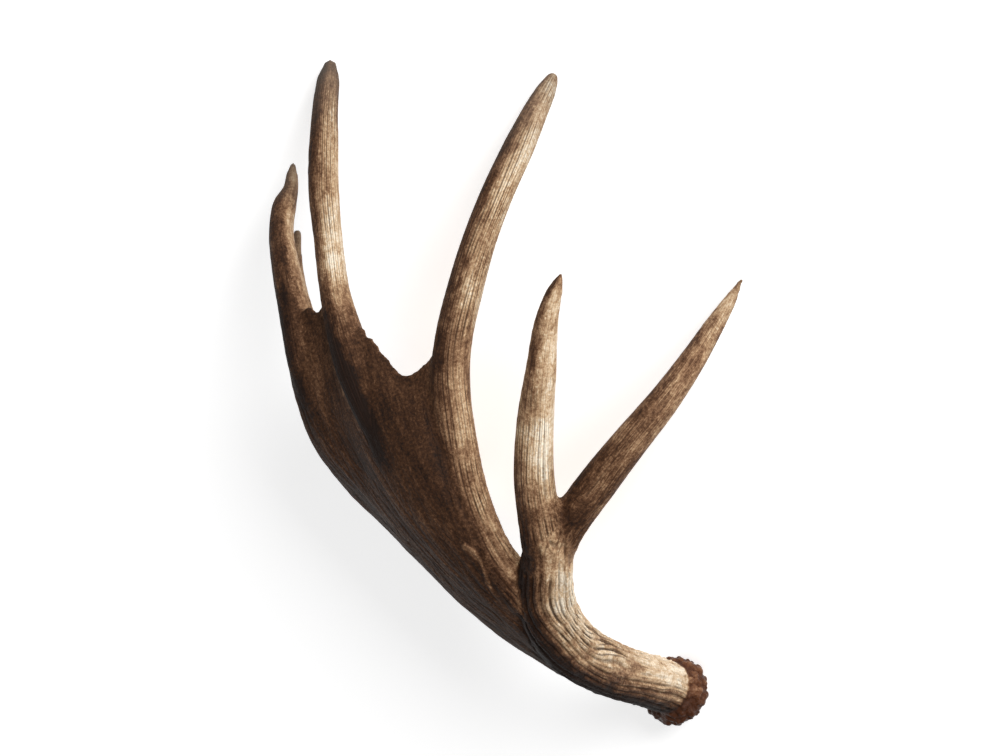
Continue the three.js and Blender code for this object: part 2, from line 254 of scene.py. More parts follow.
points, _, normal, (share_across, share_out) = palm_sheet(*BLADE_CELLS)
lift = palm_half_thickness(share_across, share_out)[..., None] * normal
index = np.arange(points[..., 0].size).reshape(points.shape[:2])
under = index.size
corners = (index[:-1, :-1], index[1:, :-1], index[1:, 1:], index[:-1, 1:])
a, b, c, d = (corner.ravel() for corner in corners)
rim = np.concatenate([index[:-1, 0], index[-1, :-1], index[:0:-1, -1], index[0, :0:-1]])
after = np.roll(rim, -1)
growths.append((
    np.vstack([(points + lift).reshape(-1, 3), (points - lift).reshape(-1, 3)]),
    np.concatenate([
        np.stack([a, b, c], 1), np.stack([a, c, d], 1),
        np.stack([a, c, b], 1) + under, np.stack([a, d, c], 1) + under,
        np.stack([rim, rim + under, after + under], 1), np.stack([rim, after + under, after], 1),
    ]),
))


# ------------------------------------------------------------------------------------ palm tines
# Three long tines carry on from the palm's front half. They are lighter than the palm, mottled
# where the velvet dried on them, and worn to blunt grey tips.
FRONT_ROWS = [
    [-108, 69, 236, 34, 28], [-136, 105, 256, 32, 27], [-153, 148, 270, 31, 27],
    [-162, 193, 280, 31, 27], [-167, 236, 287, 32, 27], [-163, 271, 298, 30, 27],
    [-153, 308, 308, 29, 26], [-141, 344, 318, 27, 25], [-126, 380, 325, 26, 23],
    [-109, 415, 329, 25, 22], [-95, 445, 329, 20, 18], [-87, 461, 328, 16, 14], [-83, 470, 327, 10, 9],
]
MIDDLE_ROWS = [
    [-214, 178, 260, 12, 8], [-230, 214, 259, 28, 15], [-246, 252, 251, 34, 21],
    [-258, 286, 242, 30, 24], [-267, 320, 237, 25, 23], [-273, 364, 236, 24, 22],
    [-277, 404, 236, 26, 22], [-278, 441, 232, 25, 22], [-278, 476, 225, 22, 20],
    [-277, 500, 218, 20, 18], [-276, 513, 215, 12, 11],
]
REAR_ROWS = [
    [-277, 214, 206, 14, 12], [-288, 241, 208, 26, 20], [-296, 269, 207, 30, 24], [-303, 303, 203, 30, 27],
    [-315, 347, 192, 24, 26], [-322, 383, 178, 21, 22], [-321, 406, 169, 21, 20],
    [-317, 420, 164, 14, 15], [-317, 434, 158, 11, 11], [-317, 444, 154, 6, 6],
]
FRONT_CUT, MIDDLE_CUT, REAR_CUT = 5.25, 4, 3.5  # row numbers at which they leave the palm

grow_branch("front_tine", FRONT_ROWS, tone=(0.6, 0.63, 0.8), groove=(1.0, 1.0, 0.7), grey=(0, 0, 0.7))
grow_branch("middle_tine", MIDDLE_ROWS, tone=(-0.5, 0.84, 0.42), groove=(0.8, 0.9, 0.6),
            grey=(0, 0, 0.9))
grow_branch("rear_tine", REAR_ROWS, tone=(0.13, 0.44, 0.48), groove=(0.4, 0.6, 0.5), grey=(0, 0, 0.9))


# ----------------------------------------------------------------------------------- rear points
# Four short flat points end the palm's rear rim. They are the same bone as the rim, and small
# nodules of bone stand on the rim between the front and middle tines.
REAR_POINTS = [  # the way each one faces, then its rows
    ((-0.95, -0.24, -0.2), [
        [-291, 250, 155, 24, 7], [-296, 272, 156, 44, 10], [-299, 292, 156, 34, 11],
        [-304, 315, 154, 21, 11], [-311, 347, 150, 14, 9], [-314, 368, 147, 11, 9],
        [-314, 387, 145, 9, 8]]),
    ((-0.87, -0.1, -0.49), [
        [-255, 238, 94, 24, 7], [-259, 256, 96, 44, 10], [-262, 272, 98, 38, 11],
        [-265, 287, 98, 22, 11], [-267, 303, 96, 14, 9], [-268, 312, 95, 9, 7], [-268, 319, 94, 3, 3]]),
    ((-0.92, -0.37, -0.11), [
        [-231, 211, 40, 24, 7], [-237, 227, 42, 44, 10], [-242, 243, 44, 38, 11],
        [-248, 257, 44, 22, 11], [-254, 271, 40, 14, 9], [-257, 279, 37, 9, 7], [-259, 286, 35, 3, 3]]),
    ((-0.77, -0.64, -0.05), [
        [-195, 167, 6, 14, 7], [-204, 182, 2, 24, 10], [-212, 195, -4, 22, 11],
        [-220, 207, -11, 17, 10], [-227, 216, -17, 11, 8], [-231, 222, -21, 4, 4]]),
]
NODULES = [  # place along the rim, counted in spokes, and radius
    (1.22, 2.8), (1.34, 3.6), (1.44, 2.8), (1.56, 3.8), (1.66, 3.0), (1.80, 3.4),
]
WEBS = [(2.76, 5.0), (3.2, 5.0)]  # the same, for the bone that rounds the rear tines' crotch
BALL_SIDES, BALL_RINGS = 12, 7

for number, (face, rows) in enumerate(REAR_POINTS):
    grow_branch(f"rear_point_{number}", rows, tone=(0.2, 0.3, 0.35), groove=(0.3, 0.4, 0.4),
                grey=(0, 0.2, 1.0), face=face)
turn = np.linspace(0, 2 * np.pi, BALL_SIDES, endpoint=False)[None, :, None]
tilt = np.linspace(-0.45, 0.45, BALL_RINGS)[:, None, None] * np.pi
ball = np.concatenate([np.cos(tilt) * np.cos(turn), np.cos(tilt) * np.sin(turn),
                       np.sin(tilt) + 0 * turn], axis=2).reshape(-1, 3)
ball = np.vstack([ball, [[0, 0, -1], [0, 0, 1]]])
for place, size in NODULES + WEBS:
    growths.append((ball * size + curve(SPOKES[:, -1], np.array([place])),
                    ring_triangles(BALL_RINGS, BALL_SIDES)))


# ------------------------------------------------------------------------------------- bone skin
# All the branches are one growth: they are fused by a fine remesh, and the creases where they meet
# are filled to soft webs, as bone fills a fork.
VOXEL = 2.4
CREASE = 0.16  # hollow of a crease, in millimetres between neighbours, that starts to fill
ROUGH_ROUNDS = 4  # of smoothing, before the creases are sought
SPREAD_ROUNDS, BLUR_ROUNDS = 10, 6  # in which the places to fill grow wider and then softer
FILL_ROUNDS = 40
FINE_ROUNDS = 3  # of smoothing, after the faces are split


def new_object(name, vertices, *groups):
    """Object with a mesh of these vertices and of groups of faces. All the faces of one group have
    the same number of corners."""
    corners = np.concatenate([faces.ravel() for faces in groups])
    sizes = np.repeat([faces.shape[1] for faces in groups], [len(faces) for faces in groups])
    mesh = bpy.data.meshes.new(name)
    mesh.vertices.add(len(vertices))
    mesh.vertices.foreach_set("co", np.asarray(vertices, np.float32).ravel())
    mesh.loops.add(len(corners))
    mesh.loops.foreach_set("vertex_index", corners.astype(np.int32))
    mesh.polygons.add(len(sizes))
    mesh.polygons.foreach_set("loop_start", (np.cumsum(sizes) - sizes).astype(np.int32))
    mesh.update(calc_edges=True)
    piece = bpy.data.objects.new(name, mesh)
    bpy.context.scene.collection.objects.link(piece)
    return piece


def fused(vertices, triangles):
    """Vertices and four-cornered faces of one skin round all that the closed shapes fill."""
    rough = new_object("rough", vertices, triangles)
    modifier = rough.modifiers.new("fuse", "REMESH")
    modifier.mode = "VOXEL"
    modifier.voxel_size = VOXEL
    mesh = rough.evaluated_get(bpy.context.evaluated_depsgraph_get()).to_mesh()
    skin_vertices = np.empty(len(mesh.vertices) * 3, np.float32)
    mesh.vertices.foreach_get("co", skin_vertices)
    skin_faces = np.empty(len(mesh.loops), np.int32)
    mesh.loops.foreach_get("vertex_index", skin_faces)
    bpy.data.objects.remove(rough)
    return skin_vertices.reshape(-1, 3).astype(float), skin_faces.reshape(-1, 4)


def edges_of(faces):
    """Both ends of every edge, once for each face that has it."""
    return faces.ravel(), np.roll(faces, -1, axis=1).ravel()


def neighbour_mean(values, faces):
    """Mean of each vertex's neighbours, for values with one row for each vertex."""
    start, end = edges_of(faces)
    count = np.bincount(start, minlength=len(values)).astype(float)
    count += np.bincount(end, minlength=len(values))
    columns = values.reshape(len(values), -1)
    sums = [np.bincount(start, column[end], len(values)) + np.bincount(end, column[start], len(values))
            for column in columns.T]
    return (np.stack(sums, 1) / count[:, None]).reshape(values.shape)


def smoothed(vertices, faces, rounds, share=0.5):
    """Vertices moved, once in each round, by a share of the way to their neighbours' mean."""
    for _ in range(rounds):
        vertices = vertices + share * (neighbour_mean(vertices, faces) - vertices)
    return vertices


def vertex_normals(vertices, faces):
    """Outward normals: the sum of the face normals, weighed by area, round each vertex."""
    normal = np.cross(vertices[faces[:, 2]] - vertices[faces[:, 0]],
                      vertices[faces[:, 3]] - vertices[faces[:, 1]])
    corner = faces.ravel()
    sums = [np.bincount(corner, np.repeat(column, 4), len(vertices)) for column in normal.T]
    return unit(np.stack(sums, 1))


def split_in_four(vertices, faces):
    """Each face parted into four by its own middle and the middles of its edges."""
    start, end = edges_of(faces)
    key = np.minimum(start, end).astype(np.int64) * len(vertices) + np.maximum(start, end)
    _, first, edge = np.unique(key, return_index=True, return_inverse=True)
    edge_middles = (vertices[start[first]] + vertices[end[first]]) / 2
    after = edge.reshape(faces.shape) + len(vertices)
    middle = np.arange(len(faces))[:, None] + len(vertices) + len(edge_middles)
    corners = [faces, after, np.repeat(middle, 4, axis=1), np.roll(after, 1, axis=1)]
    points = np.vstack([vertices, edge_middles, vertices[faces].mean(axis=1)])
    return points, np.stack(corners, axis=2).reshape(-1, 4)


offsets = np.cumsum([0] + [len(vertices) for vertices, _ in growths])
vertices = np.vstack([vertices for vertices, _ in growths])
triangles = np.vstack([faces + offset for (_, faces), offset in zip(growths, offsets)])
vertices, faces = fused(vertices, triangles)
vertices = smoothed(vertices, faces, ROUGH_ROUNDS)
hollow = np.sum((neighbour_mean(vertices, faces) - vertices) * vertex_normals(vertices, faces), axis=1)
crease = np.clip(hollow / CREASE - 1, 0, 1)
for _ in range(SPREAD_ROUNDS):
    crease = np.maximum(crease, neighbour_mean(crease, faces))
crease = np.clip(2 * crease, 0, 1)
for _ in range(BLUR_ROUNDS):
    crease = neighbour_mean(crease, faces)
vertices = smoothed(vertices, faces, FILL_ROUNDS, 0.5 * crease[:, None])
vertices, faces = split_in_four(vertices, faces)
vertices = smoothed(vertices, faces, FINE_ROUNDS)
normals = vertex_normals(vertices, faces)


# ----------------------------------------------------------------------------- where each spot is
# Every spot of the skin is told which branch it grew on, how far along it lies and which side it
# faces, so that grain, stain and wear can follow the growth.
def nearest(points, targets):
    """Index of the nearest target of each point, in blocks small enough to stay in fast memory."""
    targets = targets.astype(np.float32)
    size = np.sum(targets**2, axis=1)
    blocks = np.array_split(points.astype(np.float32), max(1, len(points) // 3000))
    return np.concatenate([np.argmin(size - 2 * block @ targets.T, axis=1) for block in blocks])


def reach_branches(points):
    """For each branch, each point's gap to it, its place along it and across it. The branch counts
    as an oval that also closes round both ends, so the gap is positive beyond them."""
    reach = {}
    for name, branch in branches.items():
        at = nearest(points, branch["centre"])
        offset = points - branch["centre"][at]
        sideways = np.sum(offset * branch["across"][at], axis=1)
        outwards = np.sum(offset * branch["out"][at], axis=1)
        beyond = np.sum(offset * branch["along"][at], axis=1)
        half = branch["half"][at]
        oval = np.sqrt((sideways / half[:, 0])**2 + (outwards / half[:, 1])**2
                       + (beyond / half.mean(axis=1))**2)
        distance = np.sqrt(sideways**2 + outwards**2 + beyond**2)
        gap = np.where(oval > 0.3, distance * (1 - 1 / np.maximum(oval, 0.3)), distance - half.mean(1))
        travelled = branch["travelled"][at] + beyond
        row = np.interp(travelled, branch["travelled"], branch["row"])
        reach[name] = {"gap": gap, "at": at, "row": row, "left": sideways / half[:, 0],
                       "front": outwards / half[:, 1], "travelled": travelled,
                       "share": travelled / branch["travelled"][-1]}
    return reach


points, onward, normal, (share_across, share_out) = palm_sheet(*SHEET_CELLS)
sheet = {"points": points.reshape(-1, 3), "onward": onward.reshape(-1, 3),
         "normal": normal.reshape(-1, 3), "outward": share_out.ravel(),
         "half": palm_half_thickness(share_across, share_out).ravel()}


def reach_palm(points):
    """Each point's gap to the palm, its share of the way outward and its height off the middle."""
    at = nearest(points, sheet["points"])
    offset = points - sheet["points"][at]
    height = np.sum(offset * sheet["normal"][at], axis=1)
    level = np.linalg.norm(offset - height[:, None] * sheet["normal"][at], axis=1)
    gap = np.hypot(np.maximum(np.abs(height) - sheet["half"][at], 0), np.maximum(level - 3, 0))
    return {"gap": gap, "at": at, "height": height, "outward": sheet["outward"][at]}


def nearness(gap, reach):
    """1 inside a shape, and outside it a share that falls to 1/e over each `reach` of gap."""
    return np.exp(-np.clip(gap, 0, 200) / reach)


on_branch = reach_branches(vertices)
on_palm = reach_palm(vertices)


# ----------------------------------------------------------------------------------------- grain
# The bone's grain runs along every branch and fans out over the palm, as its veins did. Where two
# tines part it swings across the crotch. It is worked out on a lattice round the skin.
CELL = 5.0
LATTICE = 64  # random values along each side of the block that the noise repeats, a power of 2
NOISE_SPREAD = 0.2
GRAIN_BLEND = 5.0  # millimetres over which one branch's grain gives way to the next one's
EVEN_ROUNDS = 10
CROTCHES = [  # x, y, z, reach and the way that the grain crosses
    (-77, 140, 303, 15, (-0.9, 0.1, 0.2)),
    (-116, 112, 258, 11, (-0.8, -0.2, 0.1)),
]
field_low = vertices.min(0) - 4 * CELL
field_size = np.ceil((vertices.max(0) + 4 * CELL - field_low) / CELL).astype(int)
used = np.zeros(field_size, bool)
used[tuple(np.floor((vertices - field_low) / CELL).astype(int).T)] = True
for axis in (0, 1, 2, 0, 1, 2):
    used |= np.roll(used, 1, axis) | np.roll(used, -1, axis)
cells = np.argwhere(used)
centres = field_low + (cells + 0.5) * CELL
cell_branch = reach_branches(centres)
cell_palm = reach_palm(centres)
pulls = [(nearness(reach["gap"], GRAIN_BLEND), branches[name]["along"][reach["at"]])
         for name, reach in cell_branch.items()]
pulls.append((nearness(cell_palm["gap"], GRAIN_BLEND), sheet["onward"][cell_palm["at"]]))
for x, y, z, reach, way in CROTCHES:
    weight = 4 * np.exp(-np.sum((centres - [x, y, z])**2, axis=1) / reach**2)
    pulls.append((weight, unit(np.array([way]))))
tensor = np.zeros((len(centres), 3, 3))
for weight, way in pulls:
    tensor += weight[:, None, None] * way[:, :, None] * way[:, None, :]
field = np.zeros((*field_size, 3), np.float32)
field[tuple(cells.T)] = np.linalg.eigh(tensor)[1][:, :, 2]
field = field.reshape(-1, 3)
field_steps = np.array([field_size[1] * field_size[2], field_size[2], 1])
lattice = random.random(LATTICE**3, dtype=np.float32) - 0.5
lattice_steps = np.array([LATTICE**2, LATTICE, 1])


def corner_weights(points):
    """The lower lattice corner of each point's cell and, for each of the cell's eight corners, its
    place in the cell and its share of the point."""
    base = np.floor(points).astype(np.int32)
    share = (points - base).astype(np.float32)
    for corner in np.ndindex(2, 2, 2):
        sides = [share[:, k] if corner[k] else 1 - share[:, k] for k in range(3)]
        yield base, np.array(corner), sides[0] * sides[1] * sides[2]


def grain_at(points, before):
    """Grain at each point: the ways of the eight nearest cells, each turned to agree with the way
    before, weighed by nearness."""
    total = np.zeros_like(before)
    for base, corner, weight in corner_weights((points - field_low) / CELL - 0.5):
        way = field[(base + corner) @ field_steps]
        total += way * (weight * np.sign(np.einsum("ij,ij->i", way, before)))[:, None]
    return unit(total)


def noise(points, seed):
    """Smooth random values about 0: each lattice corner's own value, weighed by nearness."""
    total = np.zeros(len(points), np.float32)
    for base, corner, weight in corner_weights(points + 17.3 * seed):
        total += weight * lattice[((base + corner) & (LATTICE - 1)) @ lattice_steps]
    return total


def streaks(points, width, reach, seed):
    """Noise of that width averaged along the grain both ways over `reach` steps of half a width,
    with a bell of weights, scaled to a spread of 1. Its zero lines run along the grain."""
    total = noise(points / width, seed)
    near = np.floor((points - field_low) / CELL).astype(int)
    for sign in (1, -1):
        here, way = points.copy(), field[near @ field_steps] * np.float32(sign)
        for step in range(1, reach + 1):
            way = grain_at(here, way)
            here = here + way * (width / 2)
            total += np.cos(np.pi / 2 * step / (reach + 1)) ** 2 * noise(here / width, seed)
    return (total - total.mean()) / total.std()


def evened(values, most):
    """Values without sudden jumps, which the streaks have where two grains meet: in repeated steps,
    each value is kept within `most` of its neighbours' mean."""
    for _ in range(EVEN_ROUNDS):
        mean = neighbour_mean(values, faces)
        values = mean + np.clip(values - mean, -most, most)
    return values


broad_streaks = evened(streaks(vertices, width=16.0, reach=6, seed=7), most=0.04)
coarse_streaks = evened(streaks(vertices, width=8.0, reach=12, seed=1), most=0.1)
middle_streaks = evened(streaks(vertices, width=4.4, reach=14, seed=2), most=0.25)
fine_streaks = streaks(vertices, width=2.6, reach=9, seed=3)
flecks = streaks(vertices, width=3.0, reach=3, seed=6)
patches = noise(vertices / 34, seed=4) / NOISE_SPREAD
small_patches = noise(vertices / 11, seed=5) / NOISE_SPREAD


# ---------------------------------------------------------------------------------- relief, stain and painted light
# Grooves run side by side along the beam and tines, a set number round each, between rounded
# ridges; the palm's outside only waves and streaks. The grooves hold the dark stain.
GROOVES_ROUND = 20
START_REACH = (-10, 22)  # millimetres along a branch over which it takes over from its parent
START_RAGGED = 9  # millimetres by which the coarse streaks make that border ragged
GROOVE_WANDER = 1.3  # radians of a groove's turn by which the broad streaks lead it aside
SWIRL_TURN = 5.0  # radians of turn for each step of the coarse streaks, where grooves swirl
SWIRL_SHARE = 0.6  # share of one branch below which its grooves give way to swirls
GROOVE_DEPTH = 1.4
CRACK_DEPTH = 0.5
RIDGE_HEIGHT = 0.45
FLECK_HEIGHT = 0.22
WAVE_HEIGHT = 0.5
PIT_DEPTH = 0.5
SCAR_WIDTHS = (3.0, 0.6)  # from its line to where it ends and to where it is whole
SCAR_HEIGHT, SCAR_TONE = 1.0, 0.3
RUBBED_AND_LIT_WAY, LIT_WAY = (0.35, 0.85, 0.4), (0.7, 0.6, 0.35)  # ways that the beam's sides with a painted highlight face; the first is also rubbed smooth
PEARL_RISE = 0.7  # share of a pearl's cap that stands out of the skin
BRANCH_BLEND = 3  # millimetres over which one branch's looks give way to the next one's
PALM_OUTSIDE, PALM_HOLLOW = 0.19, 0.66  # tones of the palm's stained face and of its hollow
BRANCH_HOLLOW = 0.6  # tone to which a darker branch pales on the hollow side
DARK_SIDE_SHADE, BURR_STAIN, PIT_DARKENING = 0.56, 0.62, 0.24  # how much darker in tone each one is: painted shade on the beam's side away from the light, the burr's stain, the pits between its pearls
SHADED_LEFTS = {  # how much darker in tone each branch is on its left side, away from the light: painted shade
    "beam": 0.32, "outer_brow": 0.32, "inner_brow": 0.1, "front_tine": 0.42, "middle_tine": 0.36,
    "rear_tine": 0.24,
}


def smooth_step(low, high, value):
    """0 below low, 1 above high, and an S-curve between them."""
    share = np.clip((value - low) / (high - low), 0, 1)
    return share**2 * (3 - 2 * share)


weights = {name: nearness(reach["gap"], BRANCH_BLEND) for name, reach in on_branch.items()}
for name, reach in on_branch.items():
    if name != "beam":
        ragged = reach["travelled"] + START_RAGGED * coarse_streaks
        weights[name] = weights[name] * smooth_step(*START_REACH, ragged)
weights["palm"] = nearness(on_palm["gap"], BRANCH_BLEND)
total_weight = sum(weights.values()) + 1e-6
palm_share = weights["palm"] / total_weight
outside = smooth_step(2.5, -2.5, on_palm["height"])
tone = palm_share * (PALM_HOLLOW + (PALM_OUTSIDE - PALM_HOLLOW) * outside)
groove_share = palm_share * (0.1 + 0.2 * outside)
grey = np.zeros(len(vertices))
owner_share = np.zeros(len(vertices))
around = np.zeros((len(vertices), 3))
around[:, 2] = GROOVE_WANDER * broad_streaks
for name, reach in on_branch.items():
    branch, own = branches[name], weights[name] / total_weight
    look = np.interp(reach["share"], [0, 0.5, 1], branch["tone"])
    # Painted shade: each branch is darker on its left side, which faces away from the light
    look -= SHADED_LEFTS.get(name, 0) * smooth_step(-0.3, 0.8, reach["left"])
    hollow_side = smooth_step(0.1, -0.5, reach["front"])
    look += np.maximum(BRANCH_HOLLOW - look, 0) * hollow_side
    tone += own * look
    groove_share += own * np.interp(reach["share"], [0, 0.5, 1], branch["groove"])
    grey += own * np.interp(reach["share"], [0, 0.8, 1], branch["grey"])
    nearer = own > owner_share
    around[nearer, 0], around[nearer, 1] = reach["left"][nearer], reach["front"][nearer]
    owner_share = np.maximum(own, owner_share)

# The upper side of the beam by the burr is rubbed smooth and made paler by a painted highlight, its
# underside keeps its ridges
beam_reach = on_branch["beam"]
upper = normals @ unit(np.array(RUBBED_AND_LIT_WAY))
rubbed_and_lit = (smooth_step(0.0, 0.7, upper) * smooth_step(150, 60, beam_reach["travelled"])
          * weights["beam"] / total_weight)
# Painted highlight on the beam's side towards the light, painted shade on its side away from it
lit = normals @ unit(np.array(LIT_WAY))
shaded_side = smooth_step(0.15, -0.6, lit)
tone += 0.15 * rubbed_and_lit
tone += weights["beam"] / total_weight * (0.1 * smooth_step(0.2, 0.8, lit)
                                          - DARK_SIDE_SHADE * shaded_side)
groove_share *= 1 - 0.7 * rubbed_and_lit

broken = smooth_step(-1.6, 0.4, small_patches + 0.6 * patches)
swirled = owner_share < SWIRL_SHARE
around[swirled] = [1, 0, 0]
around[swirled, 2] = SWIRL_TURN * coarse_streaks[swirled]
groove_share *= smooth_step(0, 0.12, np.abs(owner_share - SWIRL_SHARE))
groove = np.clip(groove_share * (0.35 + 0.65 * broken), 0, 1)
groove *= 0.6 + 0.4 * smooth_step(-0.6, 0.8, coarse_streaks)
turn = GROOVES_ROUND * np.arctan2(around[:, 1], around[:, 0]) + around[:, 2]
height = -groove * GROOVE_DEPTH * smooth_step(0.4, 0.98, np.cos(turn))
height -= groove * CRACK_DEPTH * smooth_step(0.3, 0.95, np.cos(2 * turn + middle_streaks))
height -= groove_share * RIDGE_HEIGHT * np.cos(turn)
height += 0.15 * (1 - palm_share) * coarse_streaks
height += FLECK_HEIGHT * flecks * (1 - 0.7 * palm_share)
height += palm_share * (WAVE_HEIGHT * patches + 0.2 * middle_streaks)

# Old scar: a hooked ridge of bare bone on the palm's outer face
start, end = SCAR[:-1], SCAR[1:]
flat = vertices[:, None, :2]
share = np.clip(np.sum((flat - start) * (end - start), 2) / np.sum((end - start)**2, 1), 0, 1)
from_scar = np.min(np.linalg.norm(flat - start - share[..., None] * (end - start), axis=2), axis=1)
scar = smooth_step(*SCAR_WIDTHS, from_scar + 1.3 * small_patches) * outside * (vertices[:, 2] > 120)
height += SCAR_HEIGHT * scar
tone += SCAR_TONE * scar

# Pearls are round caps on the burr and up the beam; the tone is paler on their tops and darker in the pits
# between them
from_burr = (vertices - burr_foot) @ burr_along
from_axis = np.linalg.norm(vertices - burr_foot - from_burr[:, None] * burr_along, axis=1)
on_burr = smooth_step(32, 24, from_burr) * (from_axis < 60) * (beam_reach["travelled"] < 60)
pearled = np.flatnonzero((beam_reach["travelled"] < BEAM_PEARL_PLACES[1] + 8) & (from_axis < 90))
distance = np.linalg.norm(vertices[pearled, None] - pearls[None], axis=2)
caps = np.sqrt(np.clip(pearl_sizes**2 - distance**2, 0, None))
pearl = np.zeros(len(vertices))
pearl[pearled] = caps.max(axis=1)
sawn = smooth_step(2.2, 0.8, from_burr) * (from_axis < 34)
height = height * (1 - 0.7 * on_burr) + pearl * PEARL_RISE * (1 - sawn)
height -= sawn * PIT_DEPTH * smooth_step(0.2, 1.0, fine_streaks)
pit = on_burr * (1 - sawn) * smooth_step(1.6, 0.2, pearl)
groove = groove * (1 - 0.7 * on_burr)
tone += (0.06 * smooth_step(1, 3, pearl) - BURR_STAIN * on_burr * (1 - sawn) + 0.1 * sawn
         - PIT_DARKENING * pit)
warmth = on_burr * (1 - sawn)

# The rear tine's inner rim, on its side towards the light, is made paler by a painted highlight, and the
# whole skin is mottled along its grain
rear = on_branch["rear_tine"]
rim_highlight = (smooth_step(-0.1, -0.7, rear["left"]) * smooth_step(0.3, 0.6, rear["share"])
            * smooth_step(0.9, 0.75, rear["share"]) * weights["rear_tine"] / total_weight)
tone += 0.3 * rim_highlight
tone += (1 - palm_share) * (0.04 * patches + 0.04 * small_patches + 0.05 * middle_streaks
                            + 0.07 * smooth_step(0.3, 1.4, flecks)
                            - 0.1 * smooth_step(0.5, 1.7, -flecks))
tone += palm_share * (0.02 * patches + 0.03 * middle_streaks + 0.025 * fine_streaks)
past_tip = 1 - np.max([reach["share"] for reach in on_branch.values()], axis=0)
height = evened(height * smooth_step(-0.2, 0.1, past_tip), most=0.45)


# --------------------------------------------------------------------------- laid on the floor
# The antler lies hollow side down on its burr, its last rear point and the tip of the inner brow
# tine.
TURN = np.radians(-137.45)  # about the growth frame's z, first
LEAN = np.radians(49.86)  # then about the floor's x
BURR_PLACE = np.array([-265.64, 210.94, 20.84])
turn_matrix = np.array([[np.cos(TURN), -np.sin(TURN), 0], [np.sin(TURN), np.cos(TURN), 0], [0, 0, 1]])
lean_matrix = np.array([[1, 0, 0], [0, np.cos(LEAN), -np.sin(LEAN)], [0, np.sin(LEAN), np.cos(LEAN)]])
LAY = lean_matrix @ turn_matrix


def laid(points):
    """Points of the growth frame, in millimetres, turned, leant and set on the floor in metres."""
    return (points @ LAY.T + BURR_PLACE) / 1000


skin = laid(vertices + height[:, None] * normals)
skin[:, 2] = np.maximum(skin[:, 2], 0)
skin_normals = vertex_normals(skin, faces)
fibre = np.stack([coarse_streaks, middle_streaks, fine_streaks], axis=1)


# --------------------------------------------------------------------------------------- finishes
# Antler is bone: matt and chalky where it is dry, with a slight polish on the rubbed high spots.
BONE_TONES = [  # from the darkest stain to bare rubbed bone
    (0.00, "190c05"), (0.18, "37200f"), (0.34, "563a26"), (0.50, "7f5f45"), (0.66, "a98a69"),
    (0.82, "ccb394"), (1.00, "e8dbc6"),
]
GROOVE_STAIN = "2f1a0d"
WEATHERED = "6a5f55"
RESIN = "7c4526"
RESIN_ROUGHNESS = 0.32
GLOSS = 0.16  # the same on all the bone, so that no border shows in its shine
FLAKES = (2.2, 0.5, -0.26)  # width in millimetres, contrast and level in tone
GRIT = (0.8, 0.34, -0.18)
BUMP_DEPTH = 0.0016


def linear(code):
    """An sRGB hex colour as linear red, green, blue and alpha."""
    share = np.array([int(code[k:k + 2], 16) / 255 for k in (0, 2, 4)])
    return (*np.where(share <= 0.04045, share / 12.92, ((share + 0.055) / 1.055) ** 2.4), 1.0)


def add_node(tree, kind, inputs=(), **settings):
    """A shader node with its settings; each input is a socket to link or a value to hold."""
    node = tree.nodes.new(kind)
    for key, value in settings.items():
        setattr(node, key, value)
    for key, value in dict(inputs).items():
        if isinstance(value, bpy.types.NodeSocket):
            tree.links.new(value, node.inputs[key])
        else:
            node.inputs[key].default_value = value
    return node


def add_math(tree, operation, *inputs, **settings):
    """The result of a shader node that works out one operation on its inputs."""
    return add_node(tree, "ShaderNodeMath", dict(enumerate(inputs)), operation=operation,
                    **settings).outputs[0]


